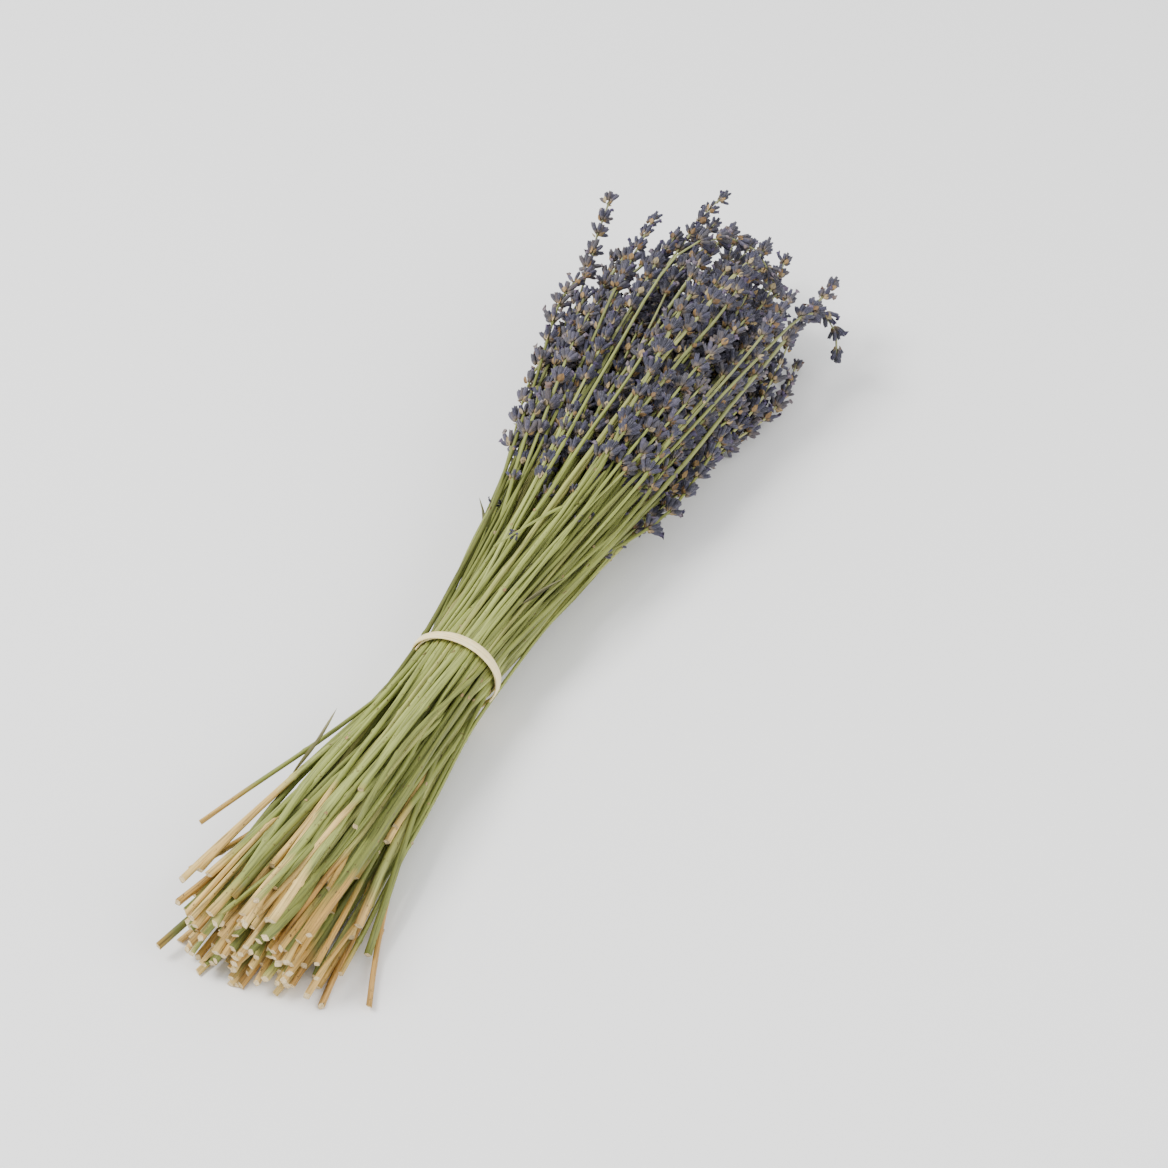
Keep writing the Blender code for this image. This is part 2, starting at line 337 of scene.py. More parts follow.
everything = np.concatenate([fixed, further]).astype(np.float32)
room = np.concatenate([
    room_along(fixed_ends, 0.95 * MM, 3.3 * MM), room_along(further_ends, 0.8 * MM, 2.9 * MM)
]).astype(np.float32)
least = room[len(fixed) :, None] + room[None]
both = (room[len(fixed) :, None] > 0) & (room[None] > 0)
print(f"a spike keeps {room.max() / MM:.1f} mm clear")

# %% Settle them
held = np.abs(from_band) < 10 * MM
hold_middle = (band_middle.y, band_middle.z)
hold_half = np.array([13.1, 11.3]) * MM
AT_THE_BAND = 0.88  # of the way out: from here on, a stem is pressed against the band
for _ in range(70):
    moving = everything[len(fixed) :]
    apart = moving[:, None] - everything[None]
    distance = np.sqrt((apart**2).sum(axis=3))
    short = np.where(both & (distance > 1e-7), np.clip(least - distance, 0, None), 0)
    moving += 0.5 * (apart * (short / np.maximum(distance, 1e-5))[..., None]).sum(axis=1)
    bend = moving[:, :-2] - 2 * moving[:, 1:-1] + moving[:, 2:]
    moving[:, 1:-1] += 0.22 * bend
    # The band holds them, the outer ones press against it, and the table holds them up.
    offset = (moving[:, held] - hold_middle) / hold_half
    out = np.linalg.norm(offset, axis=2, keepdims=True)
    pressed = np.where(out > AT_THE_BAND, 1, out) / np.maximum(out, 0.01)
    moving[:, held] = hold_middle + offset * pressed * hold_half
    moving[..., 1] = np.maximum(moving[..., 1], room[len(fixed) :] + 0.05 * MM)
pressing = np.mean(short[:, :, 1:-1] > 0.4 * MM)
print(f"settled, and {pressing * 100:.2f} % of neighbours still press")

# %% Their courses and whorls
FLOWERS_FROM = 96 * MM  # above the band

def further_course(number):
    """A further stem's course, with whorls from its tip down."""
    start, end = further_ends[number]
    x = np.append(np.arange(start, end - 3 * MM, 5 * MM), end)
    course = make_course(np.stack([
        x, np.interp(x, places, further[number, :, 0]), np.interp(x, places, further[number, :, 1])
    ], 1))
    whorls, down = [], 4 * MM
    for whorl in range(rng.integers(6, 9)):
        size = rng.uniform(0.82, 1.1) * min(1, 0.74 + 0.1 * whorl)
        whorls.append((course["along"][-1] - down, size))
        down += rng.uniform(7.0, 9.2) * MM + whorl * 0.7 * MM
    # No flowers grow on the lower third above the band.
    course["whorls"] = [whorl for whorl in whorls[::-1]
                        if on_course(course, whorl[0])[0] > band_middle.x + FLOWERS_FROM]
    # The spikes in the heart of the bunch show little, so they have fewer calyces.
    course["fullness"] = 0.68 if rounding[number] < 0.2 else 1
    return course

further = everything[len(fixed) :].astype(float)
further_stems = [further_course(number) for number in range(FURTHER)]
print("a further stem has whorls at", [round(d / MM) for d, _ in further_stems[0]["whorls"]], "mm")

# %% [markdown]
# ## Stems set one by one
# A few stems leave the bunch in a way that chance doesn't give: spikes that snapped and hang or
# lie across the others, a loose side stalk on top, and cut ends that splay out. Each is a short
# list of points, in millimetres from the middle of the band and up from the table, whose
# corners are cut three times to make a smooth course.

# %% Smooth a list of points
CORNER_CUTS = 3

def smooth_course(points, whorls, shade=4, thickness=0.95, spacing=7.4 * MM, size=0.95,
                  bare=3.5 * MM):
    """A course through these points, with whorls from a short bare tip down."""
    line = np.array(points, float) * MM + np.array(band_middle) * (1, 1, 0)
    for _ in range(CORNER_CUTS):
        near, far = 0.75 * line[:-1] + 0.25 * line[1:], 0.25 * line[:-1] + 0.75 * line[1:]
        line = np.concatenate([line[:1], np.stack([near, far], 1).reshape(-1, 3)[1:-1], line[-1:]])
    course = make_course(line)
    last = course["along"][-1] - bare
    course["thickness"] = thickness
    course["shade"] = shade
    course["whorls"] = [(last - spacing * n, size * min(1, 0.74 + 0.12 * n))
                        for n in reversed(range(whorls))]
    return course

print("three points make a course of", len(smooth_course([(0, 0, 0)] * 3, 0)["points"]), "points")

# %% Their points, then how many whorls each carries, its shade and its thickness
by_hand = [
    # Two spikes that snapped near the far side of the head: one hangs, one lies across.
    ([(-118, 2, 12), (0, -5, 20), (110, -26, 34), (190, -39, 38), (210, -43, 38),
      (219, -48, 33), (220, -52, 24), (216, -54, 14)], 5),
    ([(-110, -4, 16), (0, 3, 25), (120, 6, 44), (190, 6, 56), (208, 2, 58), (220, -10, 56),
      (222, -20, 50), (217, -27, 42)], 5, 6, 0.95, 7.8 * MM),
    # A loose side stalk that lies across the stems, with a bud near its end.
    ([(78, -9, 34), (68, -6, 38), (54, -1, 38.5), (41, 5, 38)], 1, 7, 0.6, 0, 0.6, 9 * MM),
    # Cut ends that splay out to the left: a thin one, a thick tan pair and a low one.
    ([(-90, 45, 13), (-62, 29, 20), (-30, 13, 26), (0, 6, 25), (90, 14, 34), (190, 22, 46)],
     6, 3, 0.8),
    ([(-112, 39, 11), (-80, 29, 18), (-35, 13, 25), (0, 3, 27), (90, 8, 38), (175, 16, 48)],
     6, 9, 1.15),
    ([(-108, 35, 13), (-75, 27, 19), (-35, 14, 25), (0, 5, 26), (90, 20, 26), (180, 32, 30)],
     6, 4, 1.15),
    ([(-126, 26, 8), (-85, 20, 15), (-35, 10, 19), (0, 8, 17), (90, 19, 18), (200, 36, 20)],
     6, 2),
    # One that splays out to the right.
    ([(-112, -24, 5), (-75, -17, 12), (-35, -11, 19), (0, -8, 20), (90, -20, 26),
      (170, -34, 32)], 6, 2),
    # Two that press against the inside of the band, low on the right and high on the left.
    ([(-122, -20, 5), (-60, -16, 9), (0, -11.9, 12.4), (90, -20, 11), (165, -31, 12)], 6, 5),
    ([(-124, 20, 17), (-60, 17, 21), (0, 12.5, 23.5), (90, 20, 32), (185, 34, 42)], 6, 0),
]
set_by_hand = [smooth_course(*row) for row in by_hand]
longest = max(course["along"][-1] for course in set_by_hand)
print(f"{len(set_by_hand)} stems set by hand, {longest / MM:.0f} mm the longest")

# %% [markdown]
# ## Small parts, modelled once
# A lavender flower is a ribbed tube, the calyx, that keeps its violet when it dries. Some still
# hold a withered corolla. Under each whorl sits a pair of papery bracts. Each of these is
# modelled once with extrusions, and then set in place thousands of times, so it has only a few
# dozen faces. A face corner carries its pattern place in the attribute "grain": the distance
# along the part, the distance round it, and a shade that differs between copies.

# %% Grow a shape upwards
def grow(bm, face, rise, scale, lean=(0, 0)):
    """Extrudes a face upwards, and scales the new end about its middle."""
    inside = [face] if all(edge.is_manifold for edge in face.edges) else []
    made = bmesh.ops.extrude_face_region(bm, geom=[face])["geom"]
    bmesh.ops.delete(bm, geom=inside, context="FACES_ONLY")
    corners = [part for part in made if isinstance(part, bmesh.types.BMVert)]
    face = next(part for part in made if isinstance(part, bmesh.types.BMFace))
    bmesh.ops.translate(bm, verts=corners, vec=(*lean, rise))
    middle = Matrix.Translation(-face.calc_center_median())
    bmesh.ops.scale(bm, verts=corners, vec=(scale, scale, 1), space=middle)
    return face

def start_tube(sides, radius):
    """A flat end to grow from."""
    bm = bmesh.new()
    bmesh.ops.create_circle(bm, cap_ends=True, segments=sides, radius=radius)
    bm.faces.ensure_lookup_table()
    return bm, bm.faces[0]

def close_up(bm):
    """Turns the normals outward, smooths the shading, and makes sure that nothing is open."""
    bmesh.ops.recalc_face_normals(bm, faces=bm.faces)
    for face in bm.faces:
        face.smooth = True
    open_edges = sum(not edge.is_manifold for edge in bm.edges)
    assert open_edges == 0, f"{open_edges} open edges"

# %% Lay out the pattern
# The map for the library's baked colours is laid out by the same numbers as the pattern: copies
# with the same shade share one patch of it, because they look the same.
SHADES = 12
STEM_ROWS = 12
patches = {  # each kind of part: its strip of the map's height, and its length and girth
    "calyx": (0.50, 0.72, 9 * MM, 7.5 * MM),
    "corolla": (0.72, 0.80, 5 * MM, 8 * MM),
    "bract": (0.80, 0.92, 8 * MM, 10 * MM),
    "leaf": (0.92, 1.0, 40 * MM, 8 * MM),
}

def round_place(loop, radius):
    """How far round the Z axis a face corner is, without a jump at the seam."""
    middle = loop.face.calc_center_median()
    angle = math.atan2(middle.y, middle.x)
    corner = math.atan2(loop.vert.co.y, loop.vert.co.x)
    return (angle + (corner - angle + math.pi) % (2 * math.pi) - math.pi) * radius

def lay_out(bm, kind_of, shade_number, girth_radius, flat=False):
    """Fills in "grain" and the baked map for a small part, from each corner's place on it."""
    grain = bm.loops.layers.float_vector.new("grain")
    baked = bm.loops.layers.uv.new("OFBake")
    shade = (shade_number + 0.5) / SHADES
    for face in bm.faces:
        low, high, length, girth = patches[kind_of(face)]
        for loop in face.loops:
            along = loop.vert.co.z
            around = loop.vert.co.y if flat else round_place(loop, girth_radius)
            loop[grain] = (along, around, shade)
            u = min(max(0.1 + 0.8 * along / length, 0.02), 0.98)
            v = min(max(0.5 + around / girth, 0.04), 0.96)
            loop[baked].uv = ((shade_number + u) / SHADES, low + (high - low) * v)

# %% The calyx
STEM, CUT, CALYX, BRACT, COROLLA, LEAF = range(6)  # the numbers of the materials
CALYX_LENGTH, CALYX_RADIUS = 4.5 * MM, 1.0 * MM

def calyx_part(shade_number, lean, withered, seed):
    """A ribbed tube, with a mouth that is hollow or holds a withered corolla."""
    shape = np.random.default_rng(seed)
    bm, face = start_tube(6, 0.36 * MM)
    for rise, scale in ((0.7, 1.85), (1.1, 1.32), (1.5, 1.06), (1.2, 0.8)):
        face = grow(bm, face, rise * MM, scale, (lean * rise * MM, 0))
    for part in bm.faces:
        part.material_index = CALYX
    if withered:
        face = grow(bm, face, 0.7 * MM, 0.95, (lean * MM, 0.2 * MM))
        face = grow(bm, face, 0.6 * MM, 1.5, (-0.3 * MM, 0.3 * MM))
        face = grow(bm, face, -0.25 * MM, 0.3)
        for part in bm.faces:
            if part.calc_center_median().z > 4.6 * MM:
                part.material_index = COROLLA
        for corner in bm.verts:
            if corner.co.z > 4.9 * MM:
                corner.co += Vector(shape.normal(0, 0.34 * MM, 3))
    else:
        face = grow(bm, face, 0.02 * MM, 0.7)
        face = grow(bm, face, -0.8 * MM, 0.6)
    tilt = shape.uniform(0, 1)
    for corner in bm.verts:
        angle = math.atan2(corner.co.y, corner.co.x - lean * corner.co.z)
        rib = 1 + 0.11 * math.cos(3 * angle + tilt)
        middle = lean * corner.co.z
        corner.co.x = middle + (corner.co.x - middle) * rib
        corner.co.y *= rib * 0.94
        if not withered and corner.co.z > 4.2 * MM:
            corner.co.z += 0.34 * MM * math.cos(3 * angle + 0.8)
    close_up(bm)
    kinds = {CALYX: "calyx", COROLLA: "corolla"}
    lay_out(bm, lambda part: kinds[part.material_index], shade_number, CALYX_RADIUS)
    return bm

# %% The bract and the leaf
def blade_part(kind, shade_number, length, width, steps, cup, curl, fold):
    """A thin pointed blade: a grid whose width follows a leaf's outline, cupped and curled."""
    bm = bmesh.new()
    bmesh.ops.create_grid(bm, x_segments=steps, y_segments=2, size=0.5)
    for corner in bm.verts:
        share = corner.co.x + 0.5
        half = 0.5 * width * (math.sin(math.pi * share**0.75) ** 0.8 * 0.92 + 0.08 * (1 - share))
        side = corner.co.y * 2 * half
        hollow = cup * abs(side) + fold * side * math.sin(5 * share)
        corner.co = (hollow + curl * share**2, side, length * share)
    bmesh.ops.solidify(bm, geom=bm.faces[:], thickness=0.14 * MM)
    bmesh.ops.remove_doubles(bm, verts=bm.verts, dist=0.01 * MM)
    for face in bm.faces:
        face.material_index = {"bract": BRACT, "leaf": LEAF}[kind]
    close_up(bm)
    lay_out(bm, lambda part: kind, shade_number, 1, flat=True)
    return bm

# %% Keep them as meshes
def keep(name, bm):
    """A small part's mesh, and its corners before it is placed."""
    mesh = to_mesh(name, bm)
    return mesh, corners_of(mesh)

def shapes_of(shade):
    """The small parts of one shade, by kind: a few shapes of each."""
    return {
        "calyx": [calyx_part(shade, lean, False, shade * 7 + turn)
                  for turn, lean in enumerate((0.0, 0.1, 0.22, -0.1))],
        "withered": [calyx_part(shade, 0.1, True, shade * 5 + turn) for turn in range(3)],
        "bract": [blade_part("bract", shade, length * MM, width * MM, 4, 0.5, curl * MM, 0.15)
                  for length, width, curl in ((3.3, 2.7, 0.8), (4.2, 2.1, -0.4))],
        "leaf": [blade_part("leaf", shade, 27 * MM, 2.6 * MM, 9, 0.9, 5 * MM, 0.3)],
    }

small_parts = [
    {kind: [keep(f"{kind}_{shade}", bm) for bm in shapes]
     for kind, shapes in shapes_of(shade).items()}
    for shade in range(SHADES)
]
for kind, shapes in small_parts[0].items():
    print(kind, "has", len(shapes[0][0].polygons), "faces")

# %% [markdown]
# ## The straight stem
# A lavender stem is square, with a ridge at each corner. It is modelled once, straight and one
# unit long, by extruding an eight-sided end over and over, with the pith set back in its cut
# end. Each stem of the bunch is that one bent along its own course, so the rings can crowd
# together where a pair of leaves once grew and the stem has a joint.

# %% Model it once
RINGS = 46

def straight_stem():
    """An eight-sided stem of unit radius and length, with four of its corners pulled in."""
    bm, face = start_tube(8, 1)
    for corner in bm.verts:
        if round(math.degrees(math.atan2(corner.co.y, corner.co.x)) / 45) % 2:
            corner.co *= 0.8
    for _ in range(RINGS - 1):
        face = grow(bm, face, 1 / (RINGS - 1), 1)
    cut = min(bm.faces, key=lambda part: part.calc_center_median().z)
    bmesh.ops.inset_region(bm, faces=[cut], thickness=0.3, depth=0)
    for corner in cut.verts:
        corner.co.z += 0.002
    for part in bm.faces:
        at_cut_end = abs(part.normal.z) > 0.9 and part.calc_center_median().z < 0.5
        part.material_index = CUT if at_cut_end else STEM
    close_up(bm)
    grain = bm.loops.layers.float_vector.new("grain")
    bm.loops.layers.uv.new("OFBake")
    for part in bm.faces:
        for loop in part.loops:
            loop[grain] = (loop.vert.co.z, round_place(loop, 1), 0)
    return bm

stem_mesh, stem_corners = keep("straight_stem", straight_stem())
stem_grain = np.empty(3 * len(stem_mesh.loops), np.float32)
stem_mesh.attributes["grain"].data.foreach_get("vector", stem_grain)
stem_grain = stem_grain.reshape(-1, 3)
stem_is_cut = np.zeros(len(stem_mesh.loops), bool)
for part in stem_mesh.polygons:
    stem_is_cut[part.loop_indices] = part.material_index == CUT
print(f"the straight stem has {len(stem_mesh.polygons)} faces")

# %% Bend it along a course
STEM_RADIUS, STEM_TAPER = 1.14 * MM, 0.70 * MM
BAKED_LENGTH = 0.43  # metres of stem in the baked map

def add_stem(bm, course, row, shape, thickness):
    """Adds a stem: rings every centimetre or so, and four more at each joint it returns."""
    length = course["along"][-1]
    joints = np.cumsum(shape.uniform(38 * MM, 80 * MM, 5)) - shape.uniform(0, 40 * MM)
    joints = joints[(joints > 12 * MM) & (joints < length * 0.62)]
    extra = (joints[:, None] + np.array([-1.4, -0.5, 0.5, 1.4]) * MM).ravel()
    spread = np.linspace(0, length, RINGS - len(extra))
    rings = np.sort(np.concatenate([spread, extra]))
    middles = on_course(course, rings)
    forward = heading(course, rings)
    left = np.cross((0, 0, 1), forward)
    left /= np.linalg.norm(left, axis=1, keepdims=True)
    up = np.cross(forward, left)
    share = rings / length
    radius = (STEM_RADIUS - STEM_TAPER * share) * thickness
    for joint in joints:
        radius *= 1 + 0.3 * np.exp(-(((rings - joint) / (0.9 * MM)) ** 2))
    wobble = 0.16 * MM * np.sin(rings[:, None] / (9 * MM) + shape.uniform(0, 6, 2))
    middles = middles + left * wobble[:, :1] + up * wobble[:, 1:]
    flat = shape.uniform(-0.24, 0.24)
    turn = shape.uniform(0, FULL_TURN) + shape.normal(0, 1.2) * share
    ring = np.rint(stem_corners[:, 2] * (RINGS - 1)).astype(int)
    rise = stem_corners[:, 2] * (RINGS - 1) - ring
    side = np.cos(turn)[:, None] * left + np.sin(turn)[:, None] * up
    other = -np.sin(turn)[:, None] * left + np.cos(turn)[:, None] * up
    bent = (
        middles[ring]
        + side[ring] * (stem_corners[:, :1] * radius[ring, None] * (1 + flat))
        + other[ring] * (stem_corners[:, 1:2] * radius[ring, None] * (1 - flat))
        + forward[ring] * (rise[:, None] * 2 * MM)
    )
    # The cut is a little slanted.
    slant = np.where(ring == 0, stem_corners[:, 0] * shape.uniform(-0.7, 0.7) * MM, 0)
    bent += forward[0] * slant[:, None]
    stem_mesh.vertices.foreach_set("co", bent.astype(np.float32).ravel())
    by_chance = shape.integers(SHADES)
    shade = (course.get("shade", by_chance) + 0.5) / SHADES
    along = np.interp(stem_grain[:, 0] * (RINGS - 1), np.arange(RINGS), rings)
    grain = np.stack([along, stem_grain[:, 1] * 0.9 * MM, np.full(len(along), row + shade)], 1)
    stem_mesh.attributes["grain"].data.foreach_set("vector", grain.astype(np.float32).ravel())
    low = 0.5 * row / STEM_ROWS
    u = np.where(stem_is_cut, 0.97 + 0.01 * np.cos(stem_grain[:, 1]),
                 0.01 + 0.93 * along / BAKED_LENGTH)
    v = np.clip(0.5 + stem_grain[:, 1] / 8.2, 0.06, 0.94)
    place = np.stack([u, low + 0.5 / STEM_ROWS * v], 1)
    stem_mesh.uv_layers["OFBake"].data.foreach_set("uv", place.astype(np.float32).ravel())
    bm.from_mesh(stem_mesh)
    return joints

# %% [markdown]
# ## The flower spike
# A whorl is a ring of six to ten calyces that lean out from the stem, over two bracts. The
# calyces of the lower whorls lean out more. The tip of the spike is a small upright tuft. Some
# stems have a lone whorl further down.

# %% Put a small part on a stem
def place_part(bm, part, centre, forward, around, lean, reach, size, spin=0.0):
    """Sets a part on the stem: turned round it, moved out from it, and leaning away from it."""
    mesh, corners = part
    turned = (
        Vector(forward).to_track_quat("Z", "X").to_matrix().to_4x4()
        @ Matrix.Rotation(around, 4, "Z")
        @ Matrix.Translation((reach, 0, 0))
        @ Matrix.Rotation(lean, 4, "Y")
        @ Matrix.Rotation(spin, 4, "Z")
        @ Matrix.Scale(size, 4)
    )
    moved = corners @ np.array(turned.to_3x3(), np.float32).T
    moved = moved + (np.array(turned.translation) + centre)
    mesh.vertices.foreach_set("co", moved.astype(np.float32).ravel())
    bm.from_mesh(mesh)

def pick(shape, kind, shade):
    """One of the small parts of this kind and shade, by chance."""
    choices = small_parts[int(np.clip(shade, 0, SHADES - 1))][kind]
    return choices[shape.integers(len(choices))]

# %% A whorl
MISSING, WITHERED = 0.06, 0.24  # shares of the calyces
WHORL_FOOT = 2.5 * MM

def add_whorl(bm, course, distance, size, shape, tone, share):
    """Adds a ring of calyces, a steeper ring inside it, and the bracts below."""
    distance = min(distance, course["along"][-1])
    forward = heading(course, distance)
    base = on_course(course, max(distance - WHORL_FOOT * size, 0))
    start = shape.uniform(0, FULL_TURN)
    fullness = course.get("fullness", 1)
    count = int(round(shape.uniform(7.0, 9.6) * min(size, 1) * fullness))
    for number in range(count):
        around = start + 2 * math.pi * (number + shape.uniform(-0.3, 0.3)) / count
        if shape.random() < MISSING:
            continue
        kind = "withered" if shape.random() < WITHERED else "calyx"
        lean = math.radians(shape.uniform(20, 56) - 10 * share)
        shift = base + forward * shape.uniform(-0.5, 0.6) * MM
        calyx = pick(shape, kind, tone + shape.normal(0, 2.8))
        place_part(bm, calyx, shift, forward, around, lean, 0.8 * MM,
                   size * shape.uniform(0.82, 1.14), shape.choice((0, math.pi)))
    for number in range(int(round(4 * size * fullness))):
        around = start + 2 * math.pi * (number + shape.uniform(-0.3, 0.3)) / 4
        calyx = pick(shape, "calyx", tone + shape.normal(0, 2.8))
        place_part(bm, calyx, base + forward * 1.0 * MM, forward, around,
                   math.radians(shape.uniform(6, 22)), 0.9 * MM, size * 0.92)
    # Two bracts face each other, and now and then a smaller one sits between them.
    for side in (0, math.pi):
        bract = pick(shape, "bract", shape.integers(SHADES))
        around = start + side + shape.normal(0, 0.3)
        place_part(bm, bract, base - forward * 0.7 * MM, forward, around,
                   math.radians(shape.uniform(22, 48)), 0.6 * MM, size * shape.uniform(0.72, 1.0))
    for side in (1.2, 3.4):
        if shape.random() < 0.35:
            bract = pick(shape, "bract", shape.integers(SHADES))
            around = start + side + shape.uniform(0, 1)
            place_part(bm, bract, base - forward * 0.3 * MM, forward, around,
                       math.radians(shape.uniform(30, 60)), 0.6 * MM,
                       size * shape.uniform(0.5, 0.75))

# %% A spike
LONE_WHORLS = 0.55  # the share of the stems that have one
LONE_FROM, LONE_FULL = 0.55, 95 * MM  # the nearest to the band, and where they are full-sized

def add_spike(bm, course, shape):
    """Adds a stem's whorls, its lone whorl if it has one, and the tuft at its tip."""
    tone = shape.uniform(1.5, 10)
    whorls = course["whorls"]
    for number, (distance, size) in enumerate(whorls):
        add_whorl(bm, course, distance, size, shape, tone, number / len(whorls))
    # A lone whorl is smaller the nearer it is to the band.
    lone = whorls[0][0] - shape.uniform(13, 42) * MM
    above_band = (on_course(course, lone)[0] - band_middle.x) / LONE_FULL
    if shape.random() < LONE_WHORLS and len(whorls) > 2 and above_band > LONE_FROM:
        add_whorl(bm, course, lone, shape.uniform(0.5, 0.8) * min(above_band, 1), shape, tone, 0)
    below_tip = course["along"][-1] - 3 * MM
    tip, forward = on_course(course, below_tip), heading(course, below_tip)
    for number in range(5 if len(whorls) > 2 else 0):
        place_part(bm, pick(shape, "calyx", tone + shape.normal(0, 2)), tip, forward, number * 1.3,
                   math.radians(shape.uniform(6, 28)), 0.4 * MM, shape.uniform(0.55, 0.8))

# %% [markdown]
# ## Finishes of the plant
# Each finish reads the "grain" attribute, whose numbers are real distances, so its streaks,
# ribs and veins keep their size on every stem.

# %% Patterns with real sizes
SHADE_APART = 53  # how far apart in a pattern two stems of different shades are

def noise_mm(material, along, around, detail=2.0, scale=1.0):
    """A noise whose features are this long and this wide, in millimetres."""
    place = add(material, "Attribute", {"attribute_name": "grain"})
    per_size = (1000 / along, 1000 / around, SHADE_APART)
    spot = add(material, "VectorMath", {"operation": "MULTIPLY", 1: per_size},
               {0: place.outputs["Vector"]})
    return add(material, "TexNoise", {"Scale": scale, "Detail": detail}, {"Vector": spot})

def grain_split(material):
    """The attribute's numbers, one by one: along, around and shade."""
    place = add(material, "Attribute", {"attribute_name": "grain"})
    return add(material, "SeparateXYZ", links={"Vector": place.outputs["Vector"]}).outputs

# %% A colour laid over another, and the last joins
def tint(material, base, colour, pattern, stops):
    """Lays a colour over the base: {pattern: share} says how much of it shows."""
    share = add(material, "ValToRGB", {"stops": stops}, {"Fac": pattern})
    return add(material, "Mix", {"data_type": "RGBA", 7: linear(colour)},
               {"Factor": share, 6: base})

def join_up(material, shader, colour, worn, rough, height, bump):
    """Joins the colour, a roughness that follows one pattern, and the bump of another."""
    limits = dict(zip(("To Min", "To Max", "From Min", "From Max"), rough))
    rough = add(material, "MapRange", limits, {"Value": worn})
    strength, depth = bump
    bump = add(material, "Bump", {"Strength": strength, "Distance": depth * MM},
               {"Height": height})
    join(material, shader, {"Base Color": colour, "Roughness": rough, "Normal": bump})
    return material

# %% Dried stem
# Sun-dried lavender stem: a matt skin, grey-green to straw, with fine ridges along it, small
# brown scars, and a tan stretch at the cut end where it has aged most.
def dried_stem():
    material, shader = new_material("sun_dried_lavender_stem", Roughness=0.68, IOR=1.45)
    fibres = noise_mm(material, along=14, around=0.42, detail=3.0)
    cloud = noise_mm(material, along=26, around=9)
    scars = noise_mm(material, along=1.6, around=0.9)
    along, _, row_and_shade = grain_split(material)
    shade = add(material, "Math", {"operation": "FRACT"}, {0: row_and_shade})
    green = add(material, "ValToRGB", {"stops": {
        0.0: "#696d31", 0.2: "#7c823d", 0.4: "#8c9347", 0.6: "#9aa253", 0.8: "#a9b061",
        1.0: "#a8a25b"}}, {"Fac": shade})
    straw = add(material, "ValToRGB", {"stops": {
        0.0: "#ae8541", 0.25: "#cca250", 0.5: "#deba6c", 0.75: "#ecca7c", 1.0: "#c29147"}},
        {"Fac": shade})
    # Some stems are tan for their last 6 cm, and others are green right to the cut.
    mixed = add(material, "Math", {"operation": "MULTIPLY", 1: 5.0}, {0: shade})
    kind = add(material, "Math", {"operation": "FRACT"}, {0: mixed})
    reach = add(material, "Math", {"operation": "MULTIPLY_ADD", 1: 5.6, 2: -0.4}, {0: kind})
    age = add(material, "Math", {"operation": "MULTIPLY_ADD", 1: -92.0}, {0: along, 2: reach})
    uneven = add(material, "Math", {"operation": "MULTIPLY_ADD", 1: 2.4, 2: -1.2}, {0: cloud})
    aged = add(material, "Math", {"operation": "ADD", "use_clamp": True}, {0: age, 1: uneven})
    base = add(material, "Mix", {"data_type": "RGBA"}, {"Factor": aged, 6: green, 7: straw})
    # It pales towards the flowers, where the skin is thinnest.
    upper = add(material, "MapRange", {"From Min": 0.21, "From Max": 0.38, "To Max": 0.6},
                {"Value": along})
    paled = add(material, "Mix", {"data_type": "RGBA", 7: linear("#a1a180")},
                {"Factor": upper, 6: base})
    streak = add(material, "ValToRGB", {"stops": {0.3: 0.62, 0.5: 0.92, 0.7: 1.0}},
                 {"Fac": fibres})
    streaked = add(material, "Mix",
                   {"data_type": "RGBA", "blend_type": "MULTIPLY", "Factor": 1.0},
                   {6: paled, 7: streak})
    colour = tint(material, streaked, "#5c4828", scars, {0.66: 0.0, 0.74: 1.0})
    return join_up(material, shader, colour, fibres, (0.52, 0.8, 0.3, 0.7), fibres, (0.5, 0.12))

# %% Cut end
# The cut shows pale pith inside a darker, drier rim.
def cut_pith():
    material, shader = new_material("cut_lavender_pith", Roughness=0.9)
    noise = noise_mm(material, along=1, around=0.5, scale=2.0)
    stops = {0.3: "#a98a55", 0.5: "#d6c093", 0.7: "#e8d9b2"}
    colour = add(material, "ValToRGB", {"stops": stops}, {"Fac": noise})
    bump = add(material, "Bump", {"Strength": 0.4, "Distance": 0.1 * MM}, {"Height": noise})
    join(material, shader, {"Base Color": colour, "Normal": bump})
    return material

# %% Calyx
# Dried calyx: violet-grey felt on thirteen ribs. The down scatters light at grazing angles, which
# the sheen gives. The ribs carry a painted highlight: they are painted paler than the furrows,
# where the down would catch the light.
CALYX_RIBS = 13

def dried_calyx():
    material, shader = new_material(
        "dried_lavender_calyx", Roughness=0.85, Sheen_Weight=0.22, Sheen_Roughness=0.5)
    shader.inputs["Sheen Tint"].default_value = linear("#c4c1d4")
    along, around, shade = grain_split(material)
    ribs = add(material, "Math", {"operation": "MULTIPLY", 1: CALYX_RIBS / CALYX_RADIUS},
               {0: around})
    wave = add(material, "Math", {"operation": "SINE"}, {0: ribs})
    down = noise_mm(material, along=0.7, around=0.45, detail=3.0)
    violet = add(material, "ValToRGB", {"stops": {
        0.04: "#171620", 0.2: "#1f1f2f", 0.4: "#2a283d", 0.55: "#312f38", 0.7: "#3b3734",
        0.85: "#454155", 0.97: "#49403b"}}, {"Fac": shade})
    height = add(material, "Math", {"operation": "MULTIPLY", 1: 1 / CALYX_LENGTH}, {0: along})
    relief = add(material, "Math", {"operation": "MULTIPLY_ADD", 1: 0.22}, {0: wave, 2: down})
    footed = tint(material, violet, "#75664f", height, {0.05: 1.0, 0.36: 0.0})
    # Darker towards the mouth: partly the rim's own dark violet, partly painted shade in the hollow
    # of the mouth.
    dark_rim_and_mouth_shade = tint(material, footed, "#1d1b29", height, {0.82: 0.0, 0.98: 0.7})
    # Painted highlight: the ribs are painted paler, where the down would catch the light.
    colour = tint(material, dark_rim_and_mouth_shade, "#9794a6", relief, {0.5: 0.0, 0.8: 0.62})
    return join_up(material, shader, colour, down, (0.72, 0.95, 0.3, 0.7), relief, (0.7, 0.16))

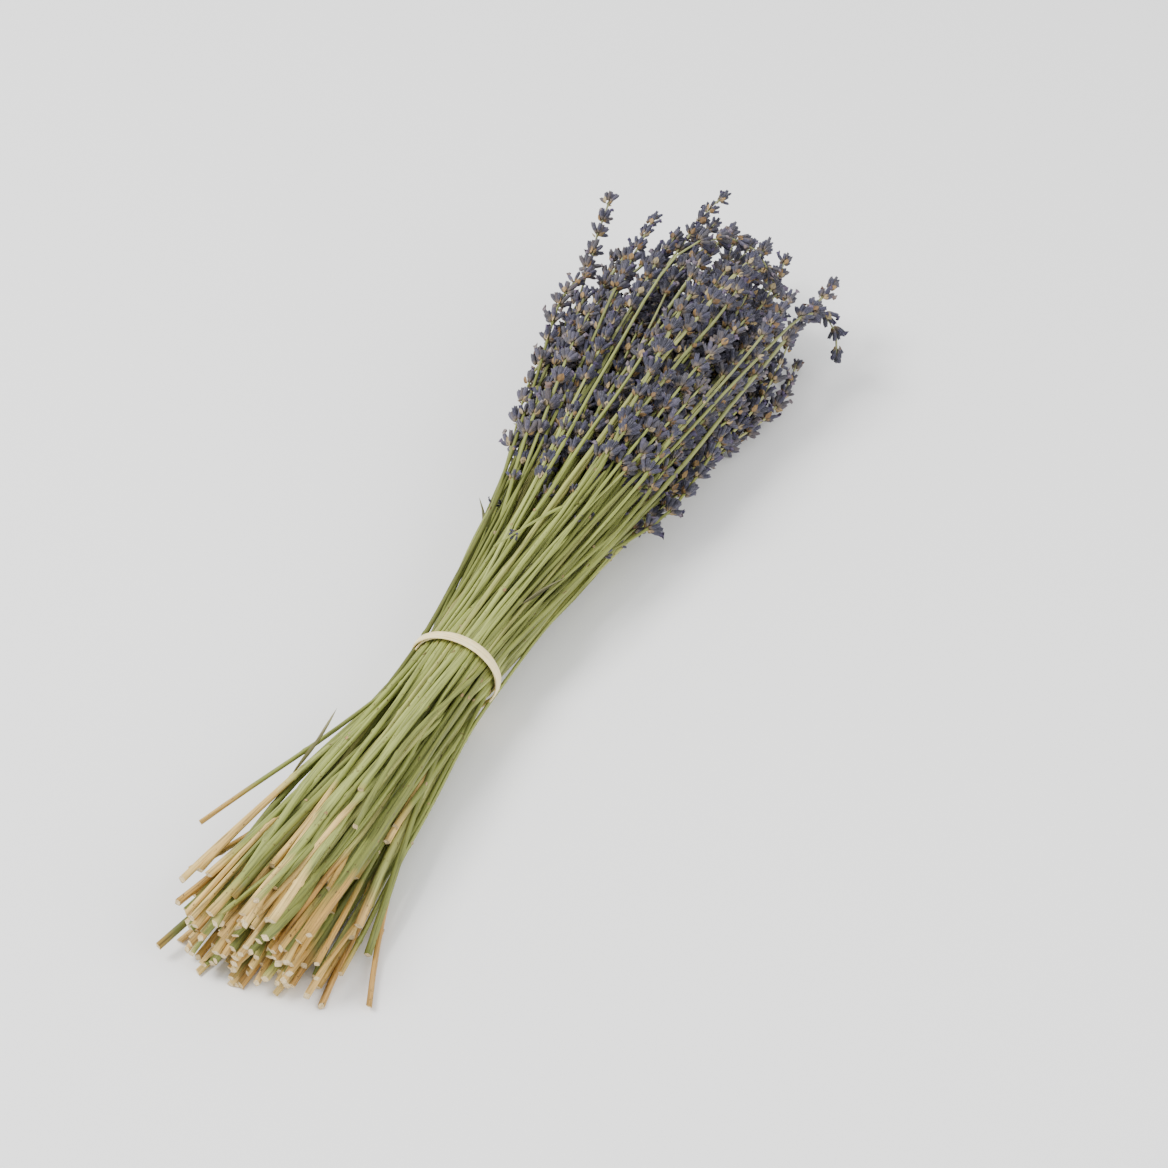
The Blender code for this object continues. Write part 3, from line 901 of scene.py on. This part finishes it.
# %% Bract, corolla and leaf
def veined(name, stops, vein, vein_along, vein_around, roughness):
    """A dry papery blade: a colour by its shade, darker veins along it, and a fine relief."""
    material, shader = new_material(name, Roughness=roughness)
    veins = noise_mm(material, vein_along, vein_around)
    base = add(material, "ValToRGB", {"stops": stops}, {"Fac": grain_split(material)["Z"]})
    colour = tint(material, base, vein, veins, {0.4: 0.0, 0.68: 0.75})
    limits = (roughness - 0.12, roughness + 0.12)
    return join_up(material, shader, colour, veins, limits, veins, (0.6, 0.1))

finishes = [  # in the order of their numbers
    dried_stem(),
    cut_pith(),
    dried_calyx(),
    veined("papery_lavender_bract",
           {0.0: "#66503a", 0.3: "#8f7149", 0.6: "#ab8d5e", 0.85: "#bba981", 1.0: "#8f8462"},
           "#6b4c2c", 3, 0.4, 0.75),
    veined("withered_lavender_corolla",
           {0.0: "#322e48", 0.3: "#4b415f", 0.55: "#716479", 0.8: "#938781", 1.0: "#6e5348"},
           "#352c3c", 1.2, 0.7, 0.7),
    veined("dried_lavender_leaf", {0.0: "#696745", 0.5: "#7e7c59", 1.0: "#908a64"},
           "#5f5636", 12, 0.4, 0.8),
]
print("finishes:", [material.name for material in finishes])

# %% [markdown]
# ## Grow the bunch
# Each stem of the solids gets one grown piece of its own. The further stems go in groups by
# where they sit in the bunch, which keeps the number of pieces low.

# %% Press it on the table
def press_on_table(mesh):
    """Flattens the lowest millimetre, and what would go through the table, smoothly above it."""
    corners = corners_of(mesh)
    height = corners[:, 2]
    corners[:, 2] = np.where(height < MM, MM * np.exp((height - MM) / MM), height)
    mesh.vertices.foreach_set("co", corners.ravel())

# %% Leaves and their scales at the joints
def add_joint(bm, course, joint, shape):
    """Adds a pair of scales to nearly half the joints, and a dried leaf to a few."""
    place, forward = on_course(course, joint), heading(course, joint)
    if shape.random() < 0.45:
        around = shape.uniform(0, FULL_TURN)
        for side in (0, math.pi):
            scale = pick(shape, "bract", shape.integers(4, SHADES))
            place_part(bm, scale, place, forward, around + side,
                       math.radians(shape.uniform(4, 16)), 0.7 * MM, shape.uniform(0.3, 0.5))
    if shape.random() < 0.03:
        leaf = pick(shape, "leaf", shape.integers(SHADES))
        place_part(bm, leaf, place, forward, shape.uniform(0, FULL_TURN),
                   math.radians(shape.uniform(3, 9)), 0.8 * MM, shape.uniform(0.6, 1.0))

# %% One piece
def grow_piece(name, courses, seed):
    """A piece with a grown stem on each course, in the scene and riding on the root."""
    shape = np.random.default_rng(seed)
    whole = bmesh.new()
    for row, course in enumerate(courses):
        bm = bmesh.new()
        thickness = course.get("thickness", 1) * shape.uniform(0.88, 1.14)
        joints = add_stem(bm, course, row, shape, thickness)
        add_spike(bm, course, shape)
        for joint in joints:
            add_joint(bm, course, joint, shape)
        part = to_mesh("part", bm)
        whole.from_mesh(part)
        bpy.data.meshes.remove(part)
    mesh = to_mesh(name, whole)
    press_on_table(mesh)
    for material in finishes:
        mesh.materials.append(material)
    piece = put_in_scene(name, mesh)
    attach(piece, "root")
    return piece

# %% Grow on the stems of the solids
SOLID_SEED, FURTHER_SEED, HAND_SEED = 100, 300, 400
faces = 0
for number, (node, course) in enumerate(solid_stems.items()):
    piece = grow_piece(f"grown_{node}", [course], SOLID_SEED + number)
    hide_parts(node)
    faces += len(piece.data.polygons)
print(f"{len(solid_stems)} stems with {faces} faces")

# %% The further stems, in groups
GROUPS = 11
bearing = np.arctan2(*(further[:, at_heads] - head_middle).T[::-1])
order = np.argsort(bearing)
for group in range(GROUPS):
    members = order[group * FURTHER // GROUPS : (group + 1) * FURTHER // GROUPS]
    courses = [further_stems[i] for i in members]
    piece = grow_piece(f"further_stems_{group + 1:02d}", courses, FURTHER_SEED + group)
    faces += len(piece.data.polygons)
print(f"{faces} faces with the further stems")

# %% The stems set one by one
piece = grow_piece("stems_set_by_hand", set_by_hand, HAND_SEED)
print(len(piece.data.polygons), "faces in the stems set by hand")

# %% [markdown]
# ## The rubber band
# A flat band of natural rubber goes round the stems twice. Its two turns lie on each other over
# the top and part at the sides. It is modelled as a straight strap with rounded edges, closed
# into a ring, and then each of its sections is set on the same double loop as the solid one.

# %% The strap's course
BAND_WIDTH, BAND_THICK = 3.4 * MM, 0.8 * MM
BAND_APART, BAND_STACKED, BAND_SHINGLED = 3.9 * MM, 1.2 * MM, 1.5 * MM
BAND_CROSSING = 0.3  # turns after +Y, where its two turns cross
loop_half = (band_high - band_low) / 2 - Vector((0, 1, 1)) * (BAND_THICK + BAND_STACKED) / 2

def band_course(turn):
    """The middle of the strap after so many turns, from +Y over the top."""
    phase = math.pi * (turn - BAND_CROSSING)
    parted = min(max((abs(math.sin(phase)) - 0.5) / 0.4, 0), 1)
    parted = parted * parted * (3 - 2 * parted)
    sideways = -0.5 * BAND_APART * math.copysign(parted, math.sin(phase))
    sideways -= 0.5 * BAND_SHINGLED * math.cos(phase)
    stacked = 0.5 * BAND_STACKED * math.tanh(4 * math.cos(phase))
    angle = 2 * math.pi * turn
    y, z = (loop_half.y + stacked) * math.cos(angle), (loop_half.z + stacked) * math.sin(angle)
    return band_middle + Vector((sideways, y, z))

print("the strap starts at", [round(v / MM, 1) for v in band_course(0)], "mm")

# %% A straight strap, closed into a ring
STRAP_STEPS = 240

def closed_strap():
    """A strap whose height counts its steps, with its last step joined to its first."""
    bm = bmesh.new()
    bmesh.ops.create_circle(bm, cap_ends=False, segments=16, radius=1)
    for corner in bm.verts:
        x, y = corner.co.x, corner.co.y
        corner.co.x = math.copysign(abs(x) ** 0.35, x) * BAND_WIDTH / 2
        corner.co.y = math.copysign(abs(y) ** 0.75, y) * BAND_THICK / 2
    first = ring = bm.edges[:]
    for _ in range(STRAP_STEPS - 1):
        made = bmesh.ops.extrude_edge_only(bm, edges=ring)["geom"]
        ring = [part for part in made if isinstance(part, bmesh.types.BMEdge) and part.is_boundary]
        corners = [part for part in made if isinstance(part, bmesh.types.BMVert)]
        bmesh.ops.translate(bm, verts=corners, vec=(0, 0, 1))
    bmesh.ops.bridge_loops(bm, edges=ring + first)
    bm.verts.index_update()
    return bm

strap = closed_strap()
print(len(strap.faces), "faces in the strap")

# %% Lay out its pattern, and wind it
turns = [band_course(2 * step / STRAP_STEPS) for step in range(STRAP_STEPS + 1)]
strap_length = sum((after - before).length for before, after in zip(turns, turns[1:]))
QUARTER = STRAP_STEPS // 4  # the baked map holds the strap in four rows

def lay_out_strap(bm):
    """Fills in "grain" and the baked map for the strap."""
    grain = bm.loops.layers.float_vector.new("grain")
    baked = bm.loops.layers.uv.new("OFBake")
    for face in bm.faces:
        spans_seam = max(v.co.z for v in face.verts) - min(v.co.z for v in face.verts) > 2
        first = STRAP_STEPS - 1 if spans_seam else min(v.co.z for v in face.verts)
        row = int(round(first)) // QUARTER
        centre = face.calc_center_median()
        toward = math.atan2(centre.y / BAND_THICK, centre.x / BAND_WIDTH)
        for loop in face.loops:
            place = loop.vert.co
            step = STRAP_STEPS if spans_seam and place.z < 1 else place.z
            angle = math.atan2(place.y / BAND_THICK, place.x / BAND_WIDTH)
            angle = toward + (angle - toward + math.pi) % (2 * math.pi) - math.pi
            loop[grain] = (step / STRAP_STEPS * strap_length, angle * 1.15 * MM, 0.5)
            across = row + 0.5 + 0.42 * angle / math.pi
            loop[baked].uv = (0.02 + 0.95 * (step / QUARTER - row), across / 4)

def wind(bm):
    """Sets each step of the strap on the band's course."""
    for corner in bm.verts:
        across_strap, through_strap, step = corner.co
        turn = 2 * step / STRAP_STEPS
        on_strap = band_course(turn)
        ahead = (band_course(turn + 0.004) - band_course(turn - 0.004)).normalized()
        outward = on_strap - band_middle
        outward.x = 0
        outward = (outward - ahead * outward.dot(ahead)).normalized()
        corner.co = on_strap + ahead.cross(outward) * across_strap + outward * through_strap

lay_out_strap(strap)
wind(strap)
close_up(strap)
band = put_in_scene("grown_rubber_band", to_mesh("grown_rubber_band", strap))
print(f"the band is {strap_length / MM:.0f} mm long, round its two turns")

# %% Natural rubber
# Cream natural rubber: soft and slightly waxy, so light goes a little way in. Fine lines run
# along it from the blade that cut it, and dust dulls it in patches.
def cream_rubber():
    material, shader = new_material(
        "natural_rubber", Roughness=0.55, IOR=1.52, Subsurface_Weight=0.15, Subsurface_Scale=0.0012)
    shader.inputs["Subsurface Radius"].default_value = (1.0, 0.7, 0.4)
    lines = noise_mm(material, along=11, around=0.22, detail=3.0)
    dust = noise_mm(material, along=3.5, around=1.6, detail=4.0)
    stops = {0.25: "#efd594", 0.5: "#fae4aa", 0.75: "#feefc0"}
    cream = add(material, "ValToRGB", {"stops": stops}, {"Fac": dust})
    lined = add(material, "ValToRGB", {"stops": {0.3: 0.86, 0.6: 1.0}}, {"Fac": lines})
    colour = add(material, "Mix",
                 {"data_type": "RGBA", "blend_type": "MULTIPLY", "Factor": 1.0},
                 {6: cream, 7: lined})
    return join_up(material, shader, colour, dust, (0.42, 0.72), lines, (0.4, 0.08))

band.data.materials.append(cream_rubber())
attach(band, "root")
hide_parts("rubber_band")
print("the band's material is", band.data.materials[0].name)

# %% Measure the solids
print("solid box", [round(v / MM, 1) for v in (*cad_low, *cad_high)])
